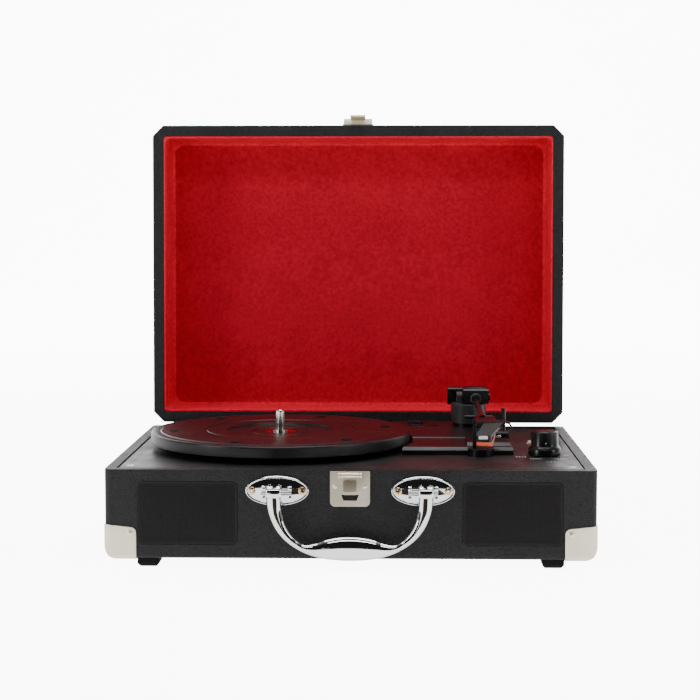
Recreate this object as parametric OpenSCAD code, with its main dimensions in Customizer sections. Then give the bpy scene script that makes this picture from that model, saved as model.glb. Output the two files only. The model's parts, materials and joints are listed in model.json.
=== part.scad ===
// Portable suitcase record player: a hinged case with a belt-driven platter, a pivoted tonearm,
// two front speakers, a carrying handle and a spring latch.
// Frame: X to the right, Y to the back, Z up, origin under the middle of the whole open object.

/* [Case] */
// Outer width of the case
case_w = 355; // [345:1:370]
// Outer depth of the case, front to back
case_d = 257; // [252:1:262]
// Height of the base without its feet
base_h = 65; // [62:1:75]
// Height of the lid
lid_h = 50; // [50:1:58]
// Wall thickness of the base
base_wall = 8; // [7:0.5:8]
// Wall thickness of the lid
lid_wall = 9.5; // [8:0.5:10]
// Height of the feet
foot_h = 7; // [5:1:12]
// Angle at which the lid stands open
lid_open = 92; // [88:1:95]

/* [Platter] */
// Radius of the platter
platter_r = 102; // [96:1:103]
// Height of the platter's rim above the top edge of the base
platter_top = 13; // [12.6:0.1:13.2]
// Radius of the record spindle
spindle_r = 3.55; // [3.5:0.01:3.6]
// Height of the spindle's tip above the top edge of the base
spindle_top = 29.3; // [26:0.1:30]

/* [Tonearm] */
// Height of the tonearm's lift axis above the top edge of the base
lift_z = 30; // [29.6:0.1:30.4]
// Radius of the tonearm turret
turret_r = 14.6; // [13:0.1:14.8]

/* [Speakers and controls] */
// Width of one speaker grille
grille_w = 72.5; // [66:0.5:74]
// Height of one speaker grille
grille_h = 46.5; // [44:0.5:48]
// Radius of the volume knob's grip
knob_r = 10.4; // [9:0.1:11]

/* [Handle] */
// Distance between the two handle plates
handle_span = 104.8; // [100:0.2:108]
// Thickness of the handle
handle_t = 10; // [8:0.5:10]

/* [Hidden] */
$fn = 64;
eps = 0.01;
run_gap = 0.05;               // radial clearance of a running fit
screw_r = 1.4;

// Case: y = 0 is the front face of the base and z = 0 is the top edge of its walls.
plan_r = 5;                   // upright corners of the base
lid_chamfer = 9;              // upright corners of the lid
chamfer_growth = 2 - sqrt(2); // how much longer a chamfer gets when its block grows by 1
liner_corner_r = 11;
edge_r = 10;                  // rounded long edges at the left and right
nose_r = 3;                   // rounded long edges at the front and back
floor_t = 6;
lid_gap = 0.4;
lid_top = lid_gap + lid_h;
panel_t = 5;                  // top panel of the lid
liner_t = 1.5;
cap_t = 0.8;                  // sheet metal of the corner protectors
hinge_y = case_d + 2;
hinge_z = 0.2;
hinge_x = [-105, 105];
hinge_w = 36;
knuckle_r = 1.6;

// Deck
deck_t = 3;
deck_z = -1;
deck_inset = base_wall + 0.5;
deck_under = deck_z - deck_t;
screw_x = 162;
screw_y = [26, case_d - 24];
deck_screw_r = 2.6;
deck_screw_l = 6;

// Platter
spin = [-58.3, 128.3];
hub_z = 11.4;
journal_r = 4;                // part of the spindle that the platter turns on
hub_r = 6;
journal_z = hub_z + 1.2;
drive_r = 65;                 // inner ring that the belt runs on
belt_t = 0.8;
belt_z = 3;
belt_h = 5;
pulley_r = 7;
motor = [spin[0] + 60, spin[1] - 60];
motor_dist = norm(motor - spin);

// Tonearm plate and tonearm
plate_x = [30, 123];
plate_y = [85, 246];
plate_z = 5;
plate_back_z = 5.8;
pivot = [94, 215];
arm_x = 99.7;
arm_front = [97.6, 58, 30.6];
arm_back = [arm_x, 204, 28];
rest_pos = [98, 83];
clip_pos = [106, 84, 26.6];
cue_pos = [117, 128, 9.6];
lifter = [108, 142];
adapter_pos = [50, 222];
adapter_r = 19;
slider_x = 114;
speed_y = 172;
stop_y = 196;

// Controls and sockets
knob_pos = [146.8, 87];
lamp_pos = [140.2, 150];
jack_x = -96;
jack_z = -30;
jack_pitch = 16;

// Front
grille_x = 117;
grille_z = -31.5;
plate_half = handle_span / 2;
handle_z = -15;
handle_y = -8.5;
eye_shift = 2;                // the handle's eyes sit outward of the plates' middles
eye_w = 10.4;
latch_w = 28.6;
latch_z = [-26.3, -0.7];
latch_pin_y = -3.4;
latch_pin_z = -3.2;

// Reach of the whole object, for its frame
front_reach = -handle_y + handle_t / 2;
back_reach = hinge_y + (nose_r - hinge_y) * cos(lid_open)
    + (lid_top - nose_r - hinge_z) * sin(lid_open) + nose_r + cap_t;
depth_mid = (back_reach - front_reach) / 2;
case_top = base_h + foot_h;

// ---------- frames and shared shapes ----------

// From the case's own coordinates to the object's frame
module case_frame() translate([0, -depth_mid, case_top]) children();

// Turns a part of the closed lid to the open position
module lid_frame() case_frame()
    translate([0, hinge_y, hinge_z]) rotate([-lid_open, 0, 0])
        translate([0, -hinge_y, -hinge_z]) children();

// Draws a shape once at each side of the middle plane
module both_sides() {
    children();
    mirror([1, 0, 0]) children();
}

module rounded_rect(w, h, r) {
    square([w - 2 * r, h], center = true);
    square([w, h - 2 * r], center = true);
    for (x = [-1, 1], y = [-1, 1])
        translate([x * (w / 2 - r), y * (h / 2 - r)]) circle(r);
}

// A profile in X and Z, extruded from y0 to y1
module along_y(y0, y1) translate([0, y1, 0]) rotate([90, 0, 0]) linear_extrude(y1 - y0) children();

// A profile in Y and Z, extruded from x0 to x1
module along_x(x0, x1) translate([x0, 0, 0]) rotate([90, 0, 90]) linear_extrude(x1 - x0) children();

// A round bar along X from x0 to x1
module rod_x(x0, x1, y, z, r) translate([x0, y, z]) rotate([0, 90, 0]) cylinder(r = r, h = x1 - x0);

// A round bar along Y from y0 to y1
module rod_y(x, y0, y1, z, r) translate([x, y1, z]) rotate([90, 0, 0]) cylinder(r = r, h = y1 - y0);

// A round bar along Z
module post(p, z0, z1, r) translate([p[0], p[1], z0]) cylinder(r = r, h = z1 - z0);

module ring(p, z0, z1, r_out, r_in) difference() {
    post(p, z0, z1, r_out);
    post(p, z0 - 1, z1 + 1, r_in);
}

head_h = 1.4;
hole_room = 0.1;

// The space of a countersunk screw with its head's face up at z = 0, grown by room
module screw_hole(head_r, length, room = hole_room) {
    translate([0, 0, -head_h]) cylinder(r1 = screw_r + room, r2 = head_r + room, h = head_h + room);
    translate([0, 0, -length]) cylinder(r = screw_r + room, h = length - head_h / 2);
}

module cross_screw(head_r, length) difference() {
    screw_hole(head_r, length, 0);
    for (a = [0, 90]) rotate(a) cube([head_r * 1.2, 0.6, 1.4], center = true);
}

// A domed rivet head on a face, pointing up
module rivet(r, height) intersection() {
    cylinder(r = r, h = height);
    translate([0, 0, height - r * 1.3]) sphere(r * 1.3);
}

function ellipse(a, b, n) = [for (i = [0 : n - 1]) [a * cos(360 * i / n), b * sin(360 * i / n)]];

function bezier(p, t) = pow(1 - t, 3) * p[0] + 3 * t * pow(1 - t, 2) * p[1]
    + 3 * t * t * (1 - t) * p[2] + pow(t, 3) * p[3];

// ---------- base ----------

// The base block, grown by g on its sides and underside
module base_block(g = 0) intersection() {
    translate([0, case_d / 2, -base_h - g]) linear_extrude(base_h + g)
        rounded_rect(case_w + 2 * g, case_d + 2 * g, plan_r + g);
    along_y(-g, case_d + g) side_round_profile(case_w / 2 + g, base_h + g, edge_r + g);
    along_x(-case_w / 2 - g, case_w / 2 + g) translate([case_d / 2, 0])
        side_round_profile(case_d / 2 + g, base_h + g, nose_r + g);
}

// A box profile below z = 0 whose two lower corners are rounded
module side_round_profile(half, h, r) {
    translate([-half, -h + r]) square([2 * half, h - r]);
    translate([-half + r, -h]) square([2 * (half - r), h]);
    for (x = [-1, 1]) translate([x * (half - r), -h + r]) circle(r);
}

opening_w = 300;
opening_d = 200;
rebate = 6;

module base_shell() color("#232326") case_frame() difference() {
    union() {
        difference() {
            base_block();
            translate([-case_w / 2 + base_wall, base_wall, -base_h + floor_t])
                cube([case_w - 2 * base_wall, case_d - 2 * base_wall, base_h]);
        }
        deck_blocks();
    }
    translate([-opening_w / 2, (case_d - opening_d) / 2, -base_h - 1])
        cube([opening_w, opening_d, base_h / 2]);
    translate([-opening_w / 2 - rebate, (case_d - opening_d) / 2 - rebate, -base_h - 1])
        cube([opening_w + 2 * rebate, opening_d + 2 * rebate, 1 + panel_rebate]);
    both_sides() translate([grille_x, 0, grille_z]) {
        along_y(-1, 1.4) rounded_rect(grille_w, grille_h, 4.5);
        along_y(-1, base_wall + 1) rounded_rect(grille_w - 8, grille_h - 8, 3);
    }
    translate([jack_x, 0, jack_z]) {
        along_y(case_d - base_wall - 1, case_d + 1) square([64, 18], center = true);
        along_y(case_d - 1.5, case_d + 1) rounded_rect(76, 26, 3);
    }
    both_sides() for (y = screw_y) post([screw_x, y], deck_z - deck_screw_l, 0, screw_r);
    bottom_screw_places() translate([0, 0, -bottom_screw_l]) cylinder(r = screw_r, h = bottom_screw_l);
}
panel_rebate = 3;
bottom_screw_l = 5;

// Puts a shape at each screw of the bottom panel, with its +Z pointing down and out
module bottom_screw_places() for (x = [-1, 0, 1], y = [-1, 1])
    translate([x * (opening_w / 2 + rebate - 4), case_d / 2 + y * (opening_d / 2 + rebate - 4), -base_h])
        mirror([0, 0, 1]) children();

// Blocks in the inner corners that carry the deck
module deck_blocks() both_sides() for (y = screw_y)
    translate([screw_x - 7, y - 8, -base_h + floor_t - eps]) cube([13, 16, base_h - floor_t + deck_under]);

module bottom_panel() color("#1b1b1d") case_frame() difference() {
    translate([0, case_d / 2, -base_h]) linear_extrude(panel_rebate)
        square([opening_w + 2 * rebate, opening_d + 2 * rebate], center = true);
    bottom_screw_places() translate([0, 0, eps]) screw_hole(2.8, bottom_screw_l);
    for (x = [-4 : 4]) translate([x * 12, case_d / 2, -base_h - 1]) linear_extrude(panel_rebate + 2)
        rounded_rect(4, 50, 1.99);
}

module bottom_screws() color("#8d8d90") case_frame() bottom_screw_places() cross_screw(2.8, bottom_screw_l);

foot_x = 146.5;
foot_y = 12.5;
foot_w = 16;

module feet() color("#101011") case_frame() both_sides() for (y = [foot_y, case_d - foot_y])
    translate([foot_x, y, -base_h - foot_h]) intersection() {
        along_y(-foot_w / 2, foot_w / 2) foot_profile();
        along_x(-foot_w / 2, foot_w / 2) foot_profile();
    }

module foot_profile() polygon([[-foot_w / 2, foot_h], [-foot_w / 2, 2.5], [-foot_w / 2 + 2, 0],
    [foot_w / 2 - 2, 0], [foot_w / 2, 2.5], [foot_w / 2, foot_h]]);

cap_w = 23;
cap_h = 25;
cap_d = 26;

cap_r = 4;
cap_slope = 2;

// Outline of a corner protector on one wall, from the corner at the origin inward and upward
module corner_outline(w) polygon(concat([[-2, -2], [-2, cap_h], [0, cap_h]],
    [for (i = [0 : 6]) [w - cap_r * (1 - sin(15 * i)), cap_h - cap_slope - cap_r * (1 - cos(15 * i))]],
    [[w, -2]]));

// The space that holds the corner protector of the right front corner, with its end at z = 0
module corner_space() intersection() {
    along_y(-2, cap_d + 2) translate([case_w / 2, 0]) mirror([1, 0]) corner_outline(cap_w);
    along_x(case_w / 2 - cap_w - 2, case_w / 2 + 2) corner_outline(cap_d);
}

module base_corners() color("#d8cfbe") case_frame() for (x = [0, 1], y = [0, 1])
    mirror([x, 0, 0]) translate([0, y * case_d, 0]) mirror([0, y, 0]) intersection() {
        difference() {
            base_block(cap_t);
            base_block();
        }
        translate([0, 0, -base_h]) corner_space();
    }

// Rivets of the base's corner protectors and of the latch plate
module base_rivets() color("#e0d8c8") case_frame() {
    both_sides() for (y = [0, 1]) translate([158.6, y * case_d, -46]) mirror([0, y, 0])
        translate([0, -cap_t, 0]) rotate([90, 0, 0]) rivet(2.7, 1.2);
    both_sides() translate([10.6, -1.2, -11.7]) rotate([90, 0, 0]) rivet(1.9, 0.6);
}

// ---------- speakers ----------

module speaker_grilles() color("#1c1a1a") case_frame() both_sides() translate([grille_x, 0, grille_z]) {
    along_y(0.5, 1.4) rounded_rect(grille_w - 0.2, grille_h - 0.2, 4.4);
    along_y(0, 0.5 + eps) difference() {
        rounded_rect(grille_w - 0.2, grille_h - 0.2, 4.4);
        rounded_rect(grille_w - 3.4, grille_h - 3.4, 3);
    }
}

speaker_r = 25;

module speaker_frames() color("#3a3a3c") case_frame() both_sides()
    translate([grille_x, base_wall, grille_z]) rotate([-90, 0, 0]) {
        rotate_extrude() polygon([[22.5, 0], [speaker_r, 0], [speaker_r, 1.2], [21.5, 2.4], [13, 13.5],
            [13, 15], [8, 15], [8, 13.5], [11.6, 12.8], [20.6, 1.6]]);
        translate([0, 0, 15]) cylinder(r = 16, h = 8);
    }

module speaker_cones() color("#202022") case_frame() both_sides()
    translate([grille_x, base_wall, grille_z]) rotate([-90, 0, 0]) rotate_extrude()
        polygon([[0, 5], [4, 6], [6.5, 10], [8, 10.4], [19.2, 0.6], [20.6, 0], [21.6, 0.4], [20.9, 0.9],
            [19.4, 1.6], [8.6, 11.4], [5.6, 11], [3.4, 7], [0, 6]]);

// ---------- deck ----------

module deck_plate() color("#19191b") case_frame() difference() {
    translate([0, case_d / 2, deck_under]) linear_extrude(deck_t)
        rounded_rect(case_w - 2 * deck_inset, case_d - 2 * deck_inset, 2);
    post(spin, -9, 1, 6);
    post(motor, -9, 1, 4.5);
    post(pivot, -9, 1, 7);
    post(knob_pos, -9, 1, 4);
    post(lamp_pos, -9, 1, 1.9);
    both_sides() for (y = screw_y)
        translate([screw_x, y, deck_z + eps]) screw_hole(deck_screw_r, deck_screw_l);
    for (y = [speed_y + 6, stop_y + 3]) translate([slider_x, y, -9]) linear_extrude(10)
        square([3, 20], center = true);
}

// Screws of the deck and of the motor plate
module machine_screws() color("#3c3c40") case_frame() {
    both_sides() for (y = screw_y)
        translate([screw_x, y, deck_z]) cross_screw(deck_screw_r, deck_screw_l);
    motor_bolts() translate([0, 0, -head_h]) mirror([0, 0, 1]) cross_screw(deck_screw_r, 6);
}

motor_plate_z = -9.4;
motor_plate_t = 1.4;
motor_bolt_r = 23;

// Puts a shape at each bolt of the motor plate, on its underside
module motor_bolts() for (a = [90, 210, 330])
    translate([motor[0], motor[1], motor_plate_z]) rotate(a) translate([motor_bolt_r, 0, 0]) children();

module spindle_seat() color("#b7b7ba") case_frame() difference() {
    union() {
        post(spin, deck_z, 2, 9);
        post(spin, -14, deck_z + eps, 6);
        post(spin, -8, deck_under, 10);
    }
    post(spin, -15, 3, journal_r);
}

module spindle() color("#d2d2d4") case_frame() translate([spin[0], spin[1], 0]) rotate_extrude()
    polygon(concat([[0, -14], [journal_r, -14], [journal_r, journal_z], [spindle_r, journal_z]],
        [for (i = [0 : 6]) [spindle_r * cos(15 * i), spindle_top - 2.2 + 2.2 * sin(15 * i)]]));

module spindle_clip() color("#9a9a9e") case_frame() difference() {
    ring(spin, hub_z + 0.4, hub_z + 1.1, 5.6, journal_r);
    translate([spin[0], spin[1] - 4, hub_z]) cube([3, 8, 4], center = true);
}

// Flat belt: the outline round the drive ring and the pulley, less the same outline inside it
module drive_belt() color("#26221f") case_frame() translate([spin[0], spin[1], belt_z]) rotate(-45)
    linear_extrude(belt_h) difference() {
        belt_outline(belt_gap + belt_t);
        belt_outline(belt_gap);
    }
belt_gap = 0.35;

module belt_outline(g) {
    lean = asin((drive_r - pulley_r) / motor_dist);
    big = drive_r + g;
    small = pulley_r + g;
    circle(big, $fn = 96);
    translate([motor_dist, 0]) circle(small);
    polygon([[big * sin(lean), big * cos(lean)], [motor_dist + small * sin(lean), small * cos(lean)],
        [motor_dist + small * sin(lean), -small * cos(lean)], [big * sin(lean), -big * cos(lean)]]);
}

module motor_can() color("#a5a6a8") case_frame() difference() {
    union() {
        post(motor, motor_plate_z - 22, motor_plate_z, 17.5);
        post(motor, motor_plate_z - 22, -5, 3.6);
    }
    post(motor, -16, 0, 1 + run_gap);
}

module motor_plate() color("#8b8c90") case_frame() difference() {
    post(motor, motor_plate_z, motor_plate_z + motor_plate_t, 28);
    post(motor, -20, 0, 3.6);
    motor_bolts() translate([0, 0, -eps]) cylinder(r = screw_r, h = 20);
}

module motor_grommets() color("#171718") case_frame() motor_bolts() translate([0, 0, motor_plate_t])
    difference() {
        cylinder(r = 4, h = deck_under - motor_plate_z - motor_plate_t);
        translate([0, 0, -1]) cylinder(r = screw_r, h = 9);
    }

module motor_pulley() color("#2b2b2d") case_frame() {
    difference() {
        union() {
            post(motor, belt_z - 1, belt_z + belt_h + 0.8, pulley_r);
            post(motor, belt_z - 1.6, belt_z - 0.6, pulley_r + 0.6);
        }
        post(motor, -3, 14, 0.98);
    }
    post(motor, -14, belt_z + belt_h + 0.8, 1);
}

// ---------- platter ----------

module platter() color("#141415") case_frame() translate([spin[0], spin[1], 0]) difference() {
    rotate_extrude($fn = 128) polygon([
        [hub_r, 3.4], [11, 3.4], [11, 9], [drive_r - 4, 10.6], [drive_r - 4, 2.4], [drive_r, 2.4],
        [drive_r, 11], [platter_r - 2, 11.2], [platter_r - 2, 4.2], [platter_r, 4.2],
        [platter_r, platter_top - 1.4], [platter_r - 0.4, platter_top - 0.4],
        [platter_r - 1.4, platter_top], [platter_r - 8, platter_top], [platter_r - 9, platter_top + 0.5],
        [59.4, platter_top + 0.5], [58.8, platter_top], [58.2, platter_top + 0.4],
        [44, platter_top + 0.2], [40, hub_z + 0.4], [24, hub_z], [23, hub_z - 0.5], [22, hub_z],
        [hub_r, hub_z]]);
    translate([0, 0, hub_z - 1]) cylinder(r = 11.7, h = 2);
}

// Bush and bright ring on which the platter turns
module platter_hub() color("#cfcfd2") case_frame() difference() {
    union() {
        post(spin, hub_z - 1, hub_z, 11.7);
        post(spin, 2.6, hub_z - 1 + eps, hub_r);
    }
    post(spin, 0, hub_z + 1, journal_r + run_gap);
}

module platter_pads() color("#0f0f10") case_frame() translate([spin[0], spin[1], platter_top + 0.5])
    for (a = [10 : 60 : 310]) rotate(a) translate([84, 0, 0]) cylinder(r = 4.2, h = 0.4, $fn = 32);

// ---------- tonearm plate and what stands on it ----------

module arm_plate() color("#1d1d1f") case_frame() difference() {
    union() {
        intersection() {
            along_x(plate_x[0], plate_x[1]) polygon([[plate_y[0], deck_z], [plate_y[0], 2.6],
                [plate_y[0] + 2.4, plate_z], [139, plate_z], [139.8, plate_back_z],
                [plate_y[1], plate_back_z], [plate_y[1], deck_z]]);
            along_y(plate_y[0] - 1, plate_y[1] + 1) polygon([[0, deck_z - 1], [plate_x[1], deck_z - 1],
                [plate_x[1], plate_z - 2], [plate_x[1] - 2, plate_back_z + 1], [0, plate_back_z + 1]]);
        }
        along_x(88, 121.4) polygon([[94, 4], [94, 5], [96.6, 7.4], [121, 7.4],
            [122, 6.5], [136, 6.5], [136, 4]]);
        for (x = [cue_pos[0] - 5, cue_pos[0] + 3.8]) {
            rod_x(x, x + 1.2, cue_pos[1], cue_pos[2], 2.8);
            translate([x, cue_pos[1] - 2.8, 5]) cube([1.2, 5.6, cue_pos[2] - 5]);
        }
        post(lifter, 5, 12, 3.6);
    }
    post(spin, -5, 20, platter_r + 3.2);
    post(adapter_pos, plate_back_z - 2.6, 20, adapter_r + 0.4);
    post(rest_pos, -5, 20, 10.2 + eps);
    post(pivot, -5, 20, 7);
    post(lifter, 0, 20, 1.5 + run_gap);
    rod_x(100, 125, cue_pos[1], cue_pos[2], 1.2 + run_gap);
    translate([slider_x, speed_y + 6, -2]) linear_extrude(20) square([2.4, 17], center = true);
    translate([slider_x, stop_y + 3, -2]) linear_extrude(20) square([2.4, 11], center = true);
}

module adapter_45() color("#18181a") case_frame() {
    ring(adapter_pos, plate_back_z - 2.5, plate_back_z + 0.4, adapter_r, 3.65);
    ring(adapter_pos, plate_back_z + 0.3, plate_back_z + 2.4, 6.2, 3.65);
}

module arm_base() color("#202022") case_frame() {
    ring(pivot, plate_back_z, 8, 13, 5 + run_gap);
    ring(pivot, -8, plate_back_z + eps, 7, 5 + run_gap);
}

module arm_rest() color("#161617") case_frame() difference() {
    union() {
        post(rest_pos, deck_z, 4.9, 10.2);
        translate([91.6, 82, 4]) cube([3, 4, 22]);
        translate([91.6, 81, 24]) cube([16, 6, 1.6]);
        translate([91.6, 81, 25]) cube([9.4, 6, 1.9]);
        for (y = [81, 85.4]) {
            rod_y(clip_pos[0], y, y + 1.6, clip_pos[2], 1.9);
            translate([clip_pos[0] - 1.6, y, 24]) cube([3.2, 1.6, 2.6]);
        }
    }
    rod_y(clip_pos[0], 80, 88, clip_pos[2], 0.8 + run_gap);
    translate([clip_pos[0] - 2.6, 82.6, 20]) cube([6, 2.8, 10]);
}

// The clip hangs open at rest and swings over the arm tube to lock it
clip_hang = 75;

module arm_clip() color("#c4c4c6") case_frame() translate(clip_pos) {
    rod_y(0, -2.9, 2.9, 0, 0.8);
    rotate([0, clip_hang, 0]) {
        rod_y(0, -1, 1, 0, 1.5);
        translate([0, -1, -1.4]) cube([14.6, 2, 1.4]);
        translate([13.2, -1, -1.4]) cube([1.4, 2, 5]);
    }
}

module cue_lever() color("#141415") case_frame() {
    rod_x(cue_pos[0] - 5, cue_pos[0] + 5, cue_pos[1], cue_pos[2], 1.2);
    rod_x(cue_pos[0] - 3.4, cue_pos[0] + 3.4, cue_pos[1], cue_pos[2], 2.6);
    post([cue_pos[0] + 1, cue_pos[1]], cue_pos[2], 28.4, 1.5);
    post([cue_pos[0] + 1, cue_pos[1]], 28.4 - eps, 30.2, 1.9);
}

module lift_bar() color("#151516") case_frame() {
    post(lifter, 2, 22, 1.5);
    rod_x(88, lifter[0] + 2, lifter[1], 21.6, 1.5);
}

module small_slider(y) {
    translate([slider_x - 1, y - 2, -3]) cube([2, 4, plate_back_z + 3.6]);
    translate([slider_x - 2.6, y - 2.6, plate_back_z + 0.3]) cube([5.2, 5.2, 1.4]);
    translate([slider_x - 2.2, y - 0.7, plate_back_z + 1.6]) cube([4.4, 1.4, 1.8]);
}

module speed_slider() color("#2a2a2c") case_frame() small_slider(speed_y);

module stop_slider() color("#2a2a2c") case_frame() small_slider(stop_y);

// ---------- tonearm ----------

turret_ear_x = 88.9;          // inner face of the ear that carries the lift pin
turret_top = 24.5;

module arm_turret() color("#2c2c2f") case_frame() difference() {
    union() {
        post(pivot, 8.3, turret_top, turret_r);
        post(pivot, -12, 8.4, 5);
        rod_x(turret_ear_x - 5, turret_ear_x, pivot[1], lift_z, 4.6);
        translate([turret_ear_x - 5, pivot[1] - 4.6, turret_top - 1]) cube([5, 9.2, lift_z - turret_top + 1]);
    }
    rod_x(turret_ear_x - 6, turret_ear_x + 1, pivot[1], lift_z, 2);
}

module lift_pin() color("#b9b9bc") case_frame() {
    rod_x(turret_ear_x - 5, 111.4, pivot[1], lift_z, 2);
    rod_x(110.8, 112, pivot[1], lift_z, 3.4);
}

module tube_solid() {
    run = arm_front - arm_back;
    translate(arm_back) rotate([0, acos(run[2] / norm(run)), atan2(run[1], run[0])])
        cylinder(r1 = 1.9, r2 = 2.6, h = norm(run));
}

module arm_block() color("#17171a") case_frame() difference() {
    union() {
        along_x(turret_ear_x + 0.5, 110.4) polygon([[205.4, 25.2], [205.4, 36], [206.6, 37.2],
            [223.4, 37.2], [227, 34.6], [227, 28.4], [217, 25.2]]);
        along_x(turret_ear_x + 3, 108) polygon([[207.6, 37], [208.2, 38.6], [221, 38.6], [221.6, 37]]);
        translate([arm_x, 205.5, 29.4]) rotate([90, 0, 0]) rotate(22.5) cylinder(r = 4.55, h = 2.5, $fn = 8);
        rod_y(95, 226, 234.5, 31.5, 3);
    }
    rod_x(80, 120, pivot[1], lift_z, 2 + run_gap);
    tube_solid();
}

module arm_tube() color("#1f1a1b") case_frame() tube_solid();

// Head: a flat body, a sloping front plate with a lip, and a finger lift at the right
module headshell() color("#1c1c1e") case_frame() difference() {
    union() {
        along_x(92.2, 107) polygon([[36, 26.4], [36, 30.6], [61, 31.9], [61, 26.4]]);
        intersection() {
            along_x(85, 125) polygon([[17.5, 19.8], [17.5, 23], [37, 30.4], [46, 31.1], [46, 29.2],
                [38, 28.6], [19.2, 21.4], [19.2, 19.8]]);
            linear_extrude(60) polygon([[91.2, 17], [101.4, 17], [103.9, 22], [108.5, 30.7],
                [112.7, 38], [112.7, 46], [98.3, 46], [98.3, 38], [95.1, 29.5], [91.4, 20]]);
        }
        along_y(37, 46) polygon([[106, 29.4], [106, 30.8], [114.2, 30.8], [117.2, 29.6],
            [119.2, 26], [117.8, 25.4], [116, 28.6], [113.6, 29.4]]);
    }
    tube_solid();
}

head_turn = -12;

module head_frame() translate([96.2, 20.5, 0]) rotate(head_turn) children();

module cartridge() color("#111112") case_frame() head_frame() along_x(-4.8, 4.8)
    polygon([[0, 17.9], [0, 20.4], [3, 21], [17, 26.4], [27, 26.4], [27, 19.4], [22, 17.9]]);

// Stylus with its guard, whose right side rises to the back
module stylus() color("#e2512c") case_frame() head_frame() {
    along_x(-4.6, 6.2) polygon([[-1, 17.9], [-1, 15.4], [0.6, 14.7], [9, 14.9], [12, 17.9]]);
    along_x(4.85, 6.2) polygon([[5, 15], [5, 17.9], [15.4, 21.6], [18, 21.6], [9, 14.9]]);
    translate([0, 3, 14.3]) cylinder(r1 = 0.3, r2 = 0.7, h = 1.2);
}

module counterweight() color("#18181b") case_frame()
    along_x(77, 101) polygon([[234.5, 21], [234.5, 34.4], [236, 35.6], [244.6, 35.6], [244.6, 21]]);

// ---------- electronics ----------

module amp_board() color("#2f6b3c") case_frame() difference() {
    union() {
        translate([62, 120, -46]) cube([90, 70, 1.6]);
        for (x = [0 : 4]) post([74 + 15 * x, 180], -44.5, -34, 4.4);
        for (x = [0 : 2]) translate([72 + 22 * x, 150, -44.5]) cube([16, 7, 4]);
        translate([70, 128, -44.5]) cube([60, 3, 16]);
        for (x = [66, 148], y = [124, 186]) post([x, y], floor_t - base_h, -46, 3);
    }
}

module volume_pot() color("#8f9093") case_frame() difference() {
    union() {
        post(knob_pos, -13, deck_under, 8.2);
        post(knob_pos, deck_under - eps, deck_z + 0.5, 4);
        translate([knob_pos[0] - 6, knob_pos[1] - 13, -11]) cube([12, 6, 1.4]);
    }
    post(knob_pos, -12, 3, 3 + run_gap);
}

module volume_knob() color("#0d0d0e") case_frame() {
    translate([knob_pos[0], knob_pos[1], 0]) rotate_extrude()
        polygon([[0, 2], [4.6, 2], [4.6, -0.4], [12.5, -0.4], [12.5, 4.2], [11.6, 5.6],
            [knob_r + 0.2, 6.4], [knob_r, 16.8], [knob_r - 0.9, 17.8], [0, 17.8]]);
    post(knob_pos, -9, 3, 3);
}

module power_lamp() color("#e5d3a6") case_frame() translate([lamp_pos[0], lamp_pos[1], 0]) rotate_extrude()
    polygon(concat([[0, -8], [1.9, -8], [1.9, deck_z], [2.4, deck_z], [2.4, deck_z + 0.8]],
        [for (i = [0 : 5]) [1.9 * cos(18 * i), deck_z + 0.8 + 2.2 * sin(18 * i)]]));

module rear_panel() color("#151517") case_frame() translate([jack_x, 0, jack_z]) difference() {
    along_y(case_d - 1.5, case_d) rounded_rect(75.6, 25.6, 2.8);
    rod_y(-1.5 * jack_pitch, case_d - 20, case_d + 1, 0, 4.2);
    rod_y(-0.5 * jack_pitch, case_d - 20, case_d + 1, 0, 4.2);
    rod_y(0.5 * jack_pitch, case_d - 20, case_d + 1, 0, 4);
    rod_y(1.5 * jack_pitch, case_d - 20, case_d + 1, 0, 4);
}

// Two phono sockets that stand out of the back
module phono_jacks() color("#c9c9cc") case_frame() for (i = [-1.5, -0.5])
    translate([jack_x + i * jack_pitch, 0, jack_z]) difference() {
        union() {
            rod_y(0, case_d - 14, case_d + 7.5, 0, 4.15);
            rod_y(0, case_d, case_d + 1.2, 0, 6);
        }
        rod_y(0, case_d - 2, case_d + 9, 0, 1.6);
    }

module power_jack() color("#101011") case_frame() translate([jack_x + 0.5 * jack_pitch, 0, jack_z]) {
    difference() {
        rod_y(0, case_d - 14, case_d + 0.6, 0, 3.95);
        rod_y(0, case_d - 10, case_d + 1, 0, 2.75);
    }
    rod_y(0, case_d - 11, case_d - 0.5, 0, 1);
}

module aux_jack() color("#101011") case_frame() translate([jack_x + 1.5 * jack_pitch, 0, jack_z]) difference() {
    union() {
        rod_y(0, case_d - 16, case_d + 0.6, 0, 3.95);
        translate([-5, case_d - 16, -5]) cube([10, 12, 10]);
    }
    rod_y(0, case_d - 14, case_d + 1, 0, 1.8);
}

// ---------- hinges ----------

// The leaf below the axis, with the outer knuckles
module hinge_base_leaves() color("#c8bda6") case_frame() for (x = hinge_x) translate([x, 0, 0])
    difference() {
        union() {
            translate([-hinge_w / 2, case_d, -18]) cube([hinge_w, 0.9, 15.8]);
            for (s = [-1, 1]) {
                translate([s * hinge_w / 3 - hinge_w / 6, case_d, -3]) cube([hinge_w / 3, 0.9, 3.2]);
                rod_x(s * hinge_w / 3 - hinge_w / 6, s * hinge_w / 3 + hinge_w / 6, hinge_y, hinge_z,
                    knuckle_r);
            }
            for (s = [-1, 1]) translate([s * 11, case_d + 0.9, -12]) rotate([-90, 0, 0]) rivet(2.4, 0.7);
        }
        rod_x(-30, 30, hinge_y, hinge_z, 0.8);
        for (s = [-1, 1]) translate([s * 6.15 - 0.15, case_d - 1, -2.6]) cube([0.3, 7, 9]);
    }

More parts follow.
